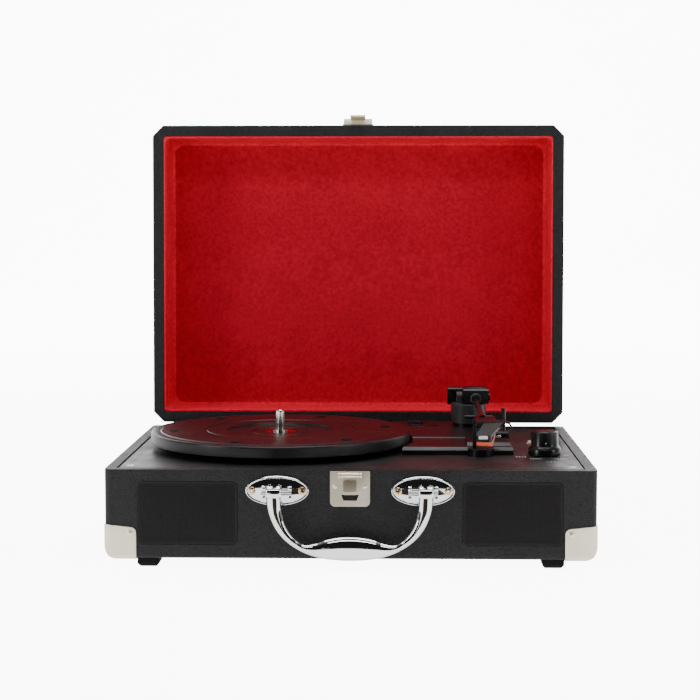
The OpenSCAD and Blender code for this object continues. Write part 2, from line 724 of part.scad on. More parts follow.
// The leaf on the lid, with the middle knuckle
module hinge_lid_leaves() color("#c8bda6") lid_frame() for (x = hinge_x) translate([x, 0, 0])
    difference() {
        union() {
            translate([-hinge_w / 2, case_d, 2.8]) cube([hinge_w, 0.9, 15.8]);
            translate([-5.7, case_d + 0.5, 0.2]) cube([11.4, 0.9, 3]);
            rod_x(-5.7, 5.7, hinge_y, hinge_z, knuckle_r);
            for (s = [-1, 1]) translate([s * 11, case_d + 0.9, 12.6]) rotate([-90, 0, 0]) rivet(2.4, 0.7);
        }
        rod_x(-30, 30, hinge_y, hinge_z, 0.8 + run_gap);
    }

module hinge_pins() color("#d9d2c2") case_frame() for (x = hinge_x)
    rod_x(x - hinge_w / 2, x + hinge_w / 2, hinge_y, hinge_z, 0.8);

// ---------- lid ----------

// A rectangle with its corners cut off at 45 degrees
module chamfered_rect(w, d, c) polygon([[c - w / 2, -d / 2], [w / 2 - c, -d / 2], [w / 2, c - d / 2],
    [w / 2, d / 2 - c], [w / 2 - c, d / 2], [c - w / 2, d / 2], [-w / 2, d / 2 - c], [-w / 2, c - d / 2]]);

module lid_block(g = 0) intersection() {
    translate([0, case_d / 2, lid_gap]) linear_extrude(lid_h + g)
        chamfered_rect(case_w + 2 * g, case_d + 2 * g, lid_chamfer + chamfer_growth * g);
    translate([0, 0, lid_gap]) mirror([0, 0, 1])
        along_y(-g, case_d + g) side_round_profile(case_w / 2 + g, lid_h + g, edge_r + g);
    translate([0, 0, lid_gap]) mirror([0, 0, 1])
        along_x(-case_w / 2 - g, case_w / 2 + g) translate([case_d / 2, 0])
            side_round_profile(case_d / 2 + g, lid_h + g, nose_r + g);
}

module lid_shell() color("#232326") lid_frame() difference() {
    lid_block();
    translate([0, case_d / 2, lid_gap - 1]) linear_extrude(lid_h - panel_t + 1)
        rounded_rect(case_w - 2 * lid_wall, case_d - 2 * lid_wall, 3);
}

module lid_liner() color("#b01418") lid_frame() difference() {
    translate([0, case_d / 2, lid_gap]) linear_extrude(lid_h - panel_t)
        rounded_rect(case_w - 2 * lid_wall, case_d - 2 * lid_wall, 3);
    translate([0, case_d / 2, lid_gap - 1]) linear_extrude(lid_h - panel_t - liner_t + 1)
        rounded_rect(case_w - 2 * lid_wall - 2 * liner_t, case_d - 2 * lid_wall - 2 * liner_t, liner_corner_r);
}

// Corner protectors of the lid, each with its rivet
module lid_corners() color("#d8cfbe") lid_frame() for (x = [0, 1], y = [0, 1])
    mirror([x, 0, 0]) translate([0, y * case_d, 0]) mirror([0, y, 0]) {
        intersection() {
            difference() {
                lid_block(cap_t);
                lid_block();
            }
            translate([0, 0, lid_top]) mirror([0, 0, 1]) corner_space();
        }
        translate([158.6, -cap_t, lid_top - 19]) rotate([90, 0, 0]) rivet(2.7, 1.2);
    }

module lid_catch() color("#ddd6c8") lid_frame() {
    along_y(-1.2, 0) translate([0, 10]) rounded_rect(26.8, 16, 2);
    along_x(-12.3, 12.3) polygon([[-1.1, 4], [-4.6, 5], [-6, 7], [-6, 10], [-1.1, 14]]);
    along_x(-6.4, 6.4) polygon([[-5.9, 9.6], [-8.4, 8], [-8.4, -4], [-6.8, -4.4], [-6.6, 5], [-5.9, 6]]);
}

// ---------- latch and handle ----------

module latch_plate() color("#d2c8b4") case_frame() difference() {
    union() {
        along_y(-1.2, 0) difference() {
            union() {
                translate([0, (latch_z[0] + latch_z[1]) / 2])
                    rounded_rect(latch_w, latch_z[1] - latch_z[0], 3.6);
                translate([-latch_w / 2, latch_z[1] - 8]) square([latch_w, 8]);
            }
            polygon([[-6.4, -17.6], [6.4, -17.6], [4.8, -22], [-4.8, -22]]);
        }
        for (x = [-8.4, 7]) {
            rod_x(x, x + 1.4, latch_pin_y, latch_pin_z, 2);
            translate([x, latch_pin_y, latch_pin_z - 2]) cube([1.4, -latch_pin_y - 1, 4]);
        }
    }
    rod_x(-9, 9, latch_pin_y, latch_pin_z, 1);
}

// Pins of the handle and of the latch lever
module front_pins() color("#cccccf") case_frame() {
    rod_x(-8.4, 8.4, latch_pin_y, latch_pin_z, 1);
    both_sides() rod_x(plate_half - ear_x - ear_t / 2, plate_half + ear_x + ear_t / 2,
        handle_y, handle_z, 1.5);
}

module latch_lever() color("#ded5c2") case_frame() difference() {
    union() {
        rod_x(-6.6, 6.6, latch_pin_y, latch_pin_z, 1.8);
        along_y(-4.8, -2.4) difference() {
            union() {
                translate([-6.6, -14]) square([13.2, 10.8]);
                translate([0, -14]) rounded_rect(13.2, 6.4, 3);
            }
        }
    }
    along_y(-6, -4.2) translate([0, -10]) rounded_rect(10.2, 10.4, 2);
    rod_x(-9, 9, latch_pin_y, latch_pin_z, 1 + run_gap);
}

ear_x = 9.4;
ear_t = 2.4;

module handle_plates() color("#c6c7cb") case_frame() both_sides() translate([plate_half, 0, 0])
    difference() {
        union() {
            along_y(-1.2, 0) translate([0, handle_z]) polygon(ellipse(22.9, 10.9, 48));
            along_y(-2.4, -1.2 + eps) translate([0, handle_z]) polygon(ellipse(21, 9, 48));
            for (s = [-1, 1]) {
                rod_x(s * ear_x - ear_t / 2, s * ear_x + ear_t / 2, handle_y, handle_z, 4);
                translate([s * ear_x - ear_t / 2, handle_y, handle_z - 4]) cube([ear_t, 7, 8]);
            }
        }
        rod_x(-12, 12, handle_y, handle_z, 1.5);
        for (s = [-1, 1]) translate([18 * s, -2.4 - eps, handle_z]) rotate([90, 0, 0]) screw_hole(2.9, 5);
    }

module handle_screws() color("#d9c489") case_frame() both_sides() for (s = [-1, 1])
    translate([plate_half + 18 * s, -2.4, handle_z]) rotate([90, 0, 0]) cross_screw(2.9, 2.4);

// Half of the handle's outline: a full outer curve, then the inner edge from grip to eye
outer_a = 60;
outer_b = 49.2;
outer_power = 2 / 2.3;        // below 1 the curve is fuller than an ellipse
grip_inner = [[0, -46.4], [14, -46.4], [24, -50], [33, -52.4]];
arm_inner = [[33, -52.4], [44, -45], [49.4, -33], [49.4, handle_z]];
half_outline = concat([for (i = [0 : 24]) [outer_a * pow(cos(90 * i / 24), outer_power),
        handle_z - outer_b * pow(sin(90 * i / 24), outer_power)]],
    [for (i = [0 : 8]) bezier(grip_inner, i / 8)], [for (i = [1 : 10]) bezier(arm_inner, i / 10)]);
eye_x = plate_half + eye_shift;

module carry_handle() color("#dcdde0") case_frame() difference() {
    union() {
        both_sides() {
            along_y(handle_y - handle_t / 2, handle_y + handle_t / 2) polygon(half_outline);
            rod_x(eye_x - eye_w / 2, eye_x + eye_w / 2, handle_y, handle_z, handle_t / 2);
        }
        along_y(handle_y - handle_t / 2, handle_y + handle_t / 2) translate([-1, -63]) square([2, 15]);
    }
    rod_x(-80, 80, handle_y, handle_z, 1.5 + run_gap);
}

base_shell();
bottom_panel();
bottom_screws();
feet();
base_corners();
base_rivets();
speaker_grilles();
speaker_frames();
speaker_cones();
deck_plate();
machine_screws();
spindle_seat();
spindle();
spindle_clip();
drive_belt();
motor_can();
motor_plate();
motor_grommets();
arm_plate();
arm_base();
arm_rest();
amp_board();
volume_pot();
power_lamp();
rear_panel();
phono_jacks();
power_jack();
aux_jack();
hinge_base_leaves();
hinge_pins();
latch_plate();
front_pins();
handle_plates();
handle_screws();
lid_shell();
lid_liner();
lid_corners();
lid_catch();
hinge_lid_leaves();
platter();
platter_hub();
platter_pads();
motor_pulley();
arm_turret();
lift_pin();
arm_block();
arm_tube();
headshell();
cartridge();
stylus();
counterweight();
arm_clip();
cue_lever();
lift_bar();
speed_slider();
stop_slider();
volume_knob();
latch_lever();
carry_handle();
adapter_45();
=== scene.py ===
import json
import math

import bmesh
import bpy
from mathutils import Matrix, Vector


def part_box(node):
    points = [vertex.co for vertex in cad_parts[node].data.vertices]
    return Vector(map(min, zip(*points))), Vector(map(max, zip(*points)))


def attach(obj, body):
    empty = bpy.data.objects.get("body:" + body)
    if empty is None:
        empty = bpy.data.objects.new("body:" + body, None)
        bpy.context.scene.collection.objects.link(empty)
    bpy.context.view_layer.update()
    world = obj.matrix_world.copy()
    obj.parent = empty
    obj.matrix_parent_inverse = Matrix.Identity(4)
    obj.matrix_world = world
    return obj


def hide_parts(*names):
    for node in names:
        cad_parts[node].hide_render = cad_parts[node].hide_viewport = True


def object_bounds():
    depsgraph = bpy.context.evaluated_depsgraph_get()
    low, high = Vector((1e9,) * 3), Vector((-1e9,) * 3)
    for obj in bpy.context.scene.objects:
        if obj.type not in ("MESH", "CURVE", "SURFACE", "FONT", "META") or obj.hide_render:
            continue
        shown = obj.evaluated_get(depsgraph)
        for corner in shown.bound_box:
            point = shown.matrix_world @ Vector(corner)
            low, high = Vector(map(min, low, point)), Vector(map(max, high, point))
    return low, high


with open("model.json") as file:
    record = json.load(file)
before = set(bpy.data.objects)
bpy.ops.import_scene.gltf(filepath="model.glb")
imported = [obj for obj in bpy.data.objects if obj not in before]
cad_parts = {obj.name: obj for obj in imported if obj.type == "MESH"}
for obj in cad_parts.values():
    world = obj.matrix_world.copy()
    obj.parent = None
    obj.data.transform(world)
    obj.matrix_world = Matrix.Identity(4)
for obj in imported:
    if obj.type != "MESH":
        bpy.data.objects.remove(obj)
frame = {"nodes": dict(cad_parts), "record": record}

CAD_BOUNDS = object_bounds()
SCENE = bpy.context.scene

# ---------- places ----------
# Pieces are modelled in millimetres in the case's own coordinates: X to the right, y = 0 at the front
# face of the base, z = 0 at the top edge of its walls. The lid's pieces use the same coordinates with
# the lid closed, and LID turns them to where it stands open.

MM = 0.001
base_low, base_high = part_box("base_shell")
FRONT, TOP = base_low[1], base_high[2]
CASE_W = (base_high[0] - base_low[0]) / MM
CASE_D = (base_high[1] - base_low[1]) / MM
LID_H = 50.0
LID_GAP = 0.4
LID_WALL = 9.5
LID_PANEL = 5.0
OPEN = math.radians(92)
CASE = Matrix.Translation((0, FRONT, TOP)) @ Matrix.Scale(MM, 4)
lid_joint = next(j for j in frame["record"]["behaviour"]["joints"] if j["name"] == "lid_hinge")
HINGE = CASE.inverted() @ Vector(lid_joint["pos_m"])
LID = CASE @ Matrix.Translation(HINGE) @ Matrix.Rotation(-OPEN, 4, "X") @ Matrix.Translation(-HINGE)


def middle(node):
    """The middle of a node's box, in case coordinates."""
    low, high = (CASE.inverted() @ Vector(p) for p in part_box(node))
    return (low + high) / 2


def reach(node):
    """The lowest and highest corners of a node's box, in case coordinates."""
    return [CASE.inverted() @ Vector(p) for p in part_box(node)]


# ---------- shapes ----------


def lay(axis, u, v, t):
    """A point whose place in the section is (u, v) and along the axis is t."""
    return {"x": Vector((t, u, v)), "y": Vector((u, t, v)), "z": Vector((u, v, t))}[axis]


def loft(bm, rings, caps=True, loop=False):
    """Joins rings of equal length into a skin."""
    rows = [[bm.verts.new(p) for p in ring] for ring in rings]
    pairs = list(zip(rows, rows[1:])) + ([(rows[-1], rows[0])] if loop else [])
    for a, b in pairs:
        for i in range(len(a)):
            j = (i + 1) % len(a)
            bm.faces.new((a[i], a[j], b[j], b[i]))
    if caps and not loop:
        bm.faces.new(rows[0])
        bm.faces.new(rows[-1])
    return rows


def circle(r, steps, start=0.0):
    return [(r * math.cos(start + math.tau * i / steps), r * math.sin(start + math.tau * i / steps))
            for i in range(steps)]


def lathe(bm, profile, centre=(0, 0, 0), axis="z", steps=96):
    """Turns (radius, height) points round an axis."""
    rings = []
    for r, h in profile:
        ring = []
        for i in range(steps):
            a = math.tau * i / steps
            ring.append(lay(axis, max(r, 1e-3) * math.cos(a), max(r, 1e-3) * math.sin(a), h) + Vector(centre))
        rings.append(ring)
    loft(bm, rings)


def rounded(w, h, r, steps=8, centre=(0, 0)):
    """The outline of a rectangle with round corners."""
    points = []
    for k, (sx, sy) in enumerate([(1, 1), (-1, 1), (-1, -1), (1, -1)]):
        for i in range(steps + 1):
            a = math.pi / 2 * (k + i / steps)
            points.append((centre[0] + sx * (w / 2 - r) + r * math.cos(a),
                           centre[1] + sy * (h / 2 - r) + r * math.sin(a)))
    return points


def prism(bm, outline, low, high, axis="z"):
    loft(bm, [[lay(axis, u, v, t) for u, v in outline] for t in (low, high)])


def smooth_path(points, steps):
    """A Catmull-Rom curve through tuples of numbers."""
    out = []
    for i in range(len(points) - 1):
        p = [points[max(i - 1, 0)], points[i], points[i + 1], points[min(i + 2, len(points) - 1)]]
        for k in range(steps):
            t = k / steps
            out.append(tuple(
                0.5 * (2 * b + (c - a) * t + (2 * a - 5 * b + 4 * c - d) * t * t
                       + (3 * b - a - 3 * c + d) * t ** 3)
                for a, b, c, d in zip(*p)))
    return out + [tuple(points[-1])]


# ---------- pieces ----------


def finish_mesh(name, bm, place, material, sharp):
    if place:
        bm.transform(place)
    bmesh.ops.recalc_face_normals(bm, faces=bm.faces)
    mesh = bpy.data.meshes.new(name)
    bm.to_mesh(mesh)
    bm.free()
    for face in mesh.polygons:
        face.use_smooth = True
    mesh.set_sharp_from_angle(angle=math.radians(sharp))
    obj = bpy.data.objects.new(name, mesh)
    SCENE.collection.objects.link(obj)
    mesh.materials.append(material)
    return obj


def round_edges(obj, width, segments=3, angle=32):
    bevel = obj.modifiers.new("edges", "BEVEL")
    bevel.width = width * MM
    bevel.segments = segments
    bevel.limit_method = "ANGLE"
    bevel.angle_limit = math.radians(angle)
    bevel.harden_normals = True


def piece(name, bm, body, material, place=CASE, stands_for=(), edge=0.0, sharp=40):
    obj = finish_mesh(name, bm, place, material, sharp)
    if edge:
        round_edges(obj, edge)
    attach(obj, body)
    if stands_for:
        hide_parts(*stands_for)
    return obj


BODY_OF = {node: body for body, nodes in frame["record"]["behaviour"]["bodies"].items() for node in nodes}


def softened(node, edge, material, sharp=35, flat=2.0):
    """Stands for a CAD node with the same shape, its edges rounded as a mould or a press leaves them."""
    bm = bmesh.new()
    bm.from_mesh(frame["nodes"][node].data)
    bmesh.ops.remove_doubles(bm, verts=bm.verts, dist=2e-6)
    bmesh.ops.dissolve_limit(bm, angle_limit=math.radians(flat), verts=bm.verts, edges=bm.edges)
    return piece(f"{node}_skin", bm, BODY_OF[node], material, place=None,
                 stands_for=(node,), edge=edge, sharp=sharp)


# ---------- materials ----------


class Nodes:
    """A material under construction."""

    def __init__(self, name):
        self.material = bpy.data.materials.new(name)
        self.material.use_nodes = True
        self.tree = self.material.node_tree
        self.shader = self.tree.nodes["Principled BSDF"]
        self.place = self.add("ShaderNodeTexCoord").outputs["Object"]

    def add(self, kind, **inputs):
        node = self.tree.nodes.new(kind)
        for key, value in inputs.items():
            node.inputs[key.replace("_", " ")].default_value = value
        return node

    def link(self, a, b):
        self.tree.links.new(a, b)

    def stretched(self, scale):
        mapping = self.add("ShaderNodeMapping")
        mapping.inputs["Scale"].default_value = scale
        self.link(self.place, mapping.inputs["Vector"])
        return mapping.outputs["Vector"]

    def noise(self, scale, detail=4.0, rough=0.55, place=None):
        node = self.add("ShaderNodeTexNoise", Scale=scale, Detail=detail, Roughness=rough)
        self.link(place or self.place, node.inputs["Vector"])
        return node.outputs["Fac"]

    def cells(self, scale, feature="DISTANCE_TO_EDGE", place=None):
        node = self.add("ShaderNodeTexVoronoi", Scale=scale)
        node.feature = feature
        self.link(place or self.place, node.inputs["Vector"])
        return node.outputs["Distance"]

    def between(self, fac, low, high, from_low=0.3, from_high=0.7):
        node = self.add("ShaderNodeMapRange")
        node.inputs["From Min"].default_value = from_low
        node.inputs["From Max"].default_value = from_high
        node.inputs["To Min"].default_value = low
        node.inputs["To Max"].default_value = high
        self.link(fac, node.inputs["Value"])
        return node.outputs["Result"]

    def ramp(self, fac, stops):
        node = self.add("ShaderNodeValToRGB")
        node.color_ramp.elements[0].position = stops[0][0]
        node.color_ramp.elements[0].color = (*stops[0][1], 1)
        node.color_ramp.elements[1].position = stops[-1][0]
        node.color_ramp.elements[1].color = (*stops[-1][1], 1)
        for position, colour in stops[1:-1]:
            node.color_ramp.elements.new(position).color = (*colour, 1)
        self.link(fac, node.inputs["Fac"])
        return node.outputs["Color"]

    def maths(self, operation, a, b):
        node = self.add("ShaderNodeMath")
        node.operation = operation
        for socket, value in zip(node.inputs, (a, b)):
            if isinstance(value, (int, float)):
                socket.default_value = value
            else:
                self.link(value, socket)
        return node.outputs[0]

    def bump(self, height, distance, strength=1.0, over=None):
        node = self.add("ShaderNodeBump", Strength=strength, Distance=distance)
        self.link(height, node.inputs["Height"])
        if over:
            self.link(over, node.inputs["Normal"])
        return node.outputs["Normal"]

    def set(self, **values):
        for key, value in values.items():
            socket = self.shader.inputs[key.replace("_", " ")]
            if isinstance(value, bpy.types.NodeSocket):
                self.link(value, socket)
            else:
                socket.default_value = value


def shade(colour, k):
    return tuple(c * k for c in colour)


def leatherette():
    m = Nodes("leatherette")
    wrinkle = m.cells(720)
    fine = m.noise(2600, 3)
    broad = m.noise(28, 4)
    pores = m.maths("ADD", m.between(wrinkle, 0, 1, 0.0, 0.16), m.maths("MULTIPLY", fine, 0.5))
    m.set(
        # The base colour is darkest along the wrinkle valleys, where the bump sinks: painted shade in the
        # creases.
        Base_Color=m.ramp(m.maths("MULTIPLY", pores, m.between(broad, 0.7, 1.0)),
                          [(0.15, (0.002, 0.002, 0.0025)), (0.9, (0.007, 0.007, 0.008)),
                           (1.0, (0.014, 0.014, 0.015))]),
        Roughness=m.between(pores, 0.60, 0.42, 0.2, 1.3),
        Specular_IOR_Level=0.3,
        Normal=m.bump(broad, 0.0012, 0.25, over=m.bump(pores, 0.00022, 0.75)),
    )
    return m.material


def flocked_red(name, bright):
    m = Nodes(name)
    fibre = m.noise(3200, 4, 0.7)
    patch = m.noise(34, 5, 0.6)
    mottle = m.noise(320, 3, 0.6)
    shadow = m.maths("ADD", m.maths("MULTIPLY", patch, 0.25), m.maths("MULTIPLY", mottle, 0.75))
    m.set(
        Base_Color=m.ramp(shadow, [(at, shade((1.0, 0.012, 0.045), level * bright))
                                   for at, level in ((0.3, 0.22), (0.5, 0.30), (0.72, 0.38))]),
        Roughness=0.95,
        Specular_IOR_Level=0.15,
        Normal=m.bump(mottle, 0.0002, 0.5, over=m.bump(fibre, 0.00012, 0.6)),
    )
    return m.material


def plastic(name, colour, rough, grain=0.0, coat=0.0, grain_scale=2400, shine=0.5):
    m = Nodes(name)
    smear = m.noise(45, 5, 0.6)
    m.set(
        Base_Color=m.ramp(smear, [(0.3, shade(colour, 0.8)), (0.7, shade(colour, 1.25))]),
        Roughness=m.between(smear, rough * 0.85, rough * 1.2),
        Specular_IOR_Level=shine,
        Coat_Weight=coat,
        Coat_Roughness=0.12,
    )
    if grain:
        m.set(Normal=m.bump(m.noise(grain_scale, 3, 0.6), grain * MM, 0.7))
    return m.material


def polished(name, colour, rough, stretch=(1, 1, 1), lines=0.0, scale=900):
    m = Nodes(name)
    brush = m.noise(scale, 3, 0.6, place=m.stretched(stretch))
    haze = m.noise(60, 4)
    m.set(
        Base_Color=m.ramp(haze, [(0.3, shade(colour, 0.93)), (0.7, colour)]),
        Metallic=1.0,
        Roughness=m.between(haze, rough * 0.8, rough * 1.3),
    )
    if lines:
        m.set(Normal=m.bump(brush, lines * MM, 0.6))
    return m.material


def lamp_plastic():
    m = Nodes("lamp_plastic")
    m.set(
        Base_Color=m.ramp(m.noise(900, 2), [(0.3, (0.72, 0.6, 0.34)), (0.7, (0.86, 0.78, 0.55))]),
        Roughness=0.15,
        Transmission_Weight=0.35,
        IOR=1.5,
    )
    return m.material


def circuit_board():
    m = Nodes("circuit_board")
    tracks = m.cells(260, "F1")
    m.set(
        Base_Color=m.ramp(tracks, [(0.2, (0.02, 0.16, 0.06)), (0.5, (0.03, 0.22, 0.09))]),
        Roughness=0.4,
        Normal=m.bump(tracks, 0.0001, 0.5),
    )
    return m.material


LEATHER = leatherette()
FLOCK = flocked_red("red_flock", 1.5)
# The walls' flock is the same red painted brighter than the floor's: painted light on the liner's walls.
WALL_FLOCK_PAINTED_LIGHT = flocked_red("red_flock_painted_light_walls", 2.3)
CHROME = polished("chrome", (0.86, 0.87, 0.89), 0.045)
PLATE_CHROME = polished("plated_chrome", (0.80, 0.81, 0.83), 0.07, lines=0.001, scale=300)
NICKEL = polished("nickel_plate", (0.78, 0.72, 0.62), 0.12)
CHAMPAGNE = polished("champagne_plate", (0.86, 0.78, 0.62), 0.36, (1, 1, 0.05), 0.003, 1400)
LEVER_FACE = polished("lever_face", (0.48, 0.42, 0.33), 0.32, (1, 1, 0.04), 0.006, 1600)
STEEL = polished("zinc_steel", (0.58, 0.58, 0.6), 0.3, (0.1, 1, 1), 0.004)
GOLD = polished("screw_brass", (0.80, 0.62, 0.36), 0.22, lines=0.002)
GLOSS = plastic("gloss_black", (0.004, 0.004, 0.005), 0.27, coat=0.22, shine=0.35)
DULL = plastic("moulded_black", (0.008, 0.007, 0.007), 0.33, grain=0.02, grain_scale=1500, shine=0.38)
WARM = plastic("collar_grey", (0.17, 0.13, 0.12), 0.35, grain=0.004)
DECK = plastic("deck_black", (0.014, 0.013, 0.013), 0.42, grain=0.035, grain_scale=1300)
SATIN = plastic("satin_black", (0.005, 0.005, 0.006), 0.28, grain=0.006, shine=0.4)
GREY = plastic("grey_black", (0.022, 0.022, 0.025), 0.42, grain=0.012)
RUBBER = plastic("rubber", (0.003, 0.003, 0.003), 0.7, grain=0.03, shine=0.2)
MESH = plastic("grille_black", (0.007, 0.006, 0.006), 0.5, grain=0.004, shine=0.25)
CONE = plastic("cone_paper", (0.02, 0.02, 0.02), 0.8, grain=0.08, grain_scale=1500)
ORANGE = plastic("stylus_orange", (0.75, 0.10, 0.035), 0.25, grain=0.003)
PALE = plastic("pale_print", (0.55, 0.55, 0.56), 0.5, grain=0.002)
LAMP = lamp_plastic()
BOARD = circuit_board()

# ---------- case ----------

for node, edge, material in [
    ("base_shell", 1.4, LEATHER), ("lid_shell", 1.3, LEATHER),
    ("base_corners", 0.25, CHAMPAGNE), ("lid_corners", 0.25, CHAMPAGNE),
    ("feet", 0.5, RUBBER), ("bottom_panel", 0.3, SATIN), ("deck_plate", 0.25, DECK),
    ("arm_plate", 0.5, DULL), ("arm_base", 0.3, SATIN), ("arm_rest", 0.25, SATIN),
    ("arm_block", 0.5, SATIN), ("arm_turret", 0.5, GREY), ("arm_tube", 0.0, GLOSS),
    ("headshell", 0.35, SATIN), ("cartridge", 0.2, SATIN), ("stylus", 0.3, ORANGE),
    ("counterweight", 0.5, SATIN), ("arm_clip", 0.15, CHROME), ("cue_lever", 0.25, SATIN),
    ("lift_bar", 0.3, SATIN), ("speed_slider", 0.25, GREY), ("stop_slider", 0.25, GREY),
    ("adapter_45", 0.25, SATIN), ("latch_plate", 0.25, CHAMPAGNE), ("latch_lever", 0.35, CHAMPAGNE),
    ("lid_catch", 0.4, CHAMPAGNE), ("hinge_base_leaves", 0.15, CHAMPAGNE),
    ("hinge_lid_leaves", 0.15, CHAMPAGNE), ("rear_panel", 0.3, SATIN), ("phono_jacks", 0.15, STEEL),
    ("power_jack", 0.15, SATIN), ("aux_jack", 0.15, SATIN), ("amp_board", 0.1, BOARD),
    ("motor_can", 0.5, STEEL), ("motor_plate", 0.2, STEEL),
]:
    softened(node, edge, material)

for node, material in [
    ("bottom_screws", STEEL), ("base_rivets", CHAMPAGNE), ("speaker_frames", STEEL), ("speaker_cones", CONE),
    ("machine_screws", STEEL), ("spindle_seat", STEEL), ("spindle", NICKEL), ("spindle_clip", STEEL),
    ("drive_belt", RUBBER), ("motor_grommets", RUBBER), ("motor_pulley", SATIN), ("volume_pot", STEEL),
    ("power_lamp", LAMP), ("hinge_pins", STEEL), ("front_pins", STEEL), ("platter_hub", NICKEL),
    ("platter_pads", RUBBER), ("lift_pin", SATIN),
]:
    slots = frame["nodes"][node].data.materials
    slots.clear()
    slots.append(material)


def lid_liner():
    """Flocked tray with a thin lip, walls upright and then drafted, and a soft fold into its floor."""
    bm = bmesh.new()
    half_w = CASE_W / 2 - LID_WALL
    half_d = CASE_D / 2 - LID_WALL
    floor = LID_GAP + LID_H - LID_PANEL - 1.5
    fold = 5.0    # radius of the fold
    draft = 13.5  # height where the walls begin to lean
    wall = 1.35
    steps = [(0.0, LID_GAP + 0.05, 3.0), (1.1, LID_GAP + 0.05, 5.4), (wall, LID_GAP + 0.5, 5.6),
             (wall, draft, 5.8)]
    steps += [(wall + t, draft + (floor - fold - 0.5 - draft) * t, 5.8 + 0.8 * t) for t in (0.33, 0.66, 1.0)]
    start = steps[-1]
    for i in range(1, 7):
        a = math.pi / 2 * i / 6
        steps.append((start[0] + fold * (1 - math.cos(a)), start[1] + (floor - start[1]) * math.sin(a),
                      start[2] + 2 * (1 - math.cos(a))))
    rings = []
    for inset, z, r in steps:
        outline = rounded(2 * (half_w - inset), 2 * (half_d - inset), r, 10, (0, CASE_D / 2))
        rings.append([Vector((x, y, z)) for x, y in outline])
    loft(bm, rings)
    bm.faces.ensure_lookup_table()
    bmesh.ops.delete(bm, geom=[bm.faces[-2]], context="FACES_ONLY")
    for face in bm.faces:
        # Floor faces take the plain flock and wall faces the brighter copy, which is painted light.
        face.material_index = 0 if min(v.co.z for v in face.verts) > floor - 1.6 else 1
    tray = piece("liner_tray", bm, "lid", FLOCK, LID, ("lid_liner",), sharp=50)
    tray.data.materials.append(WALL_FLOCK_PAINTED_LIGHT)
    return tray


lid_liner()

# ---------- platter ----------

spindle_at = middle("spindle")
platter_low, platter_high = reach("platter")
PLATTER_R = (platter_high.x - platter_low.x) / 2


def platter():
    """Moulded platter: stepped rim, flat ring, a narrow groove and a dished middle."""
    top, under = platter_high.z, platter_low.z
    hub = reach("platter_hub")[1].z
    profile = [(61, under + 8.6), (61, under + 0.2), (65, under + 0.2), (65, under + 8.8),
               (PLATTER_R - 2, under + 8.8), (PLATTER_R - 2, under + 2.2), (PLATTER_R - 1.6, under + 1.8),
               (PLATTER_R - 0.3, under + 1.8), (PLATTER_R, under + 2.2), (PLATTER_R, top - 2.2)]
    profile += [(PLATTER_R - 1.6 * (1 - math.cos(a)), top - 2.1 + 1.6 * math.sin(a))
                for a in (math.radians(x) for x in (20, 40, 60, 80))]
    profile += [(PLATTER_R - 2.2, top - 0.5), (94.6, top - 0.5), (94.2, top - 0.3), (93.6, top), (93, top)]
    profile += [(59.6, top), (59.1, top - 0.5), (58.3, top - 0.55), (57.9, top - 0.15), (46, top - 0.2)]
    profile += [(43 - 1.6 * t, top - 0.3 - (top - hub - 0.3) * (3 * t * t - 2 * t ** 3)) for t in
                (0, 0.2, 0.4, 0.6, 0.8, 1.0)]
    profile += [(24, hub), (23.4, hub - 0.5), (22.6, hub - 0.5), (22, hub), (11.9, hub), (11.7, hub - 0.6),
                (11.7, hub - 1), (5, hub - 1), (5, under + 1.2), (11, under + 1.2), (11, under + 6.8)]
    bm = bmesh.new()
    rings = [[Vector((spindle_at.x + r * c, spindle_at.y + r * s, z)) for c, s in circle(1, 192)]
             for r, z in profile]
    loft(bm, rings, loop=True)
    return piece("platter_mould", bm, "turntable", DULL, stands_for=("platter",), sharp=24)


platter()

# ---------- speaker grilles ----------

# Distance of each grille's middle from the case's middle
GRILLE_X = 117.0


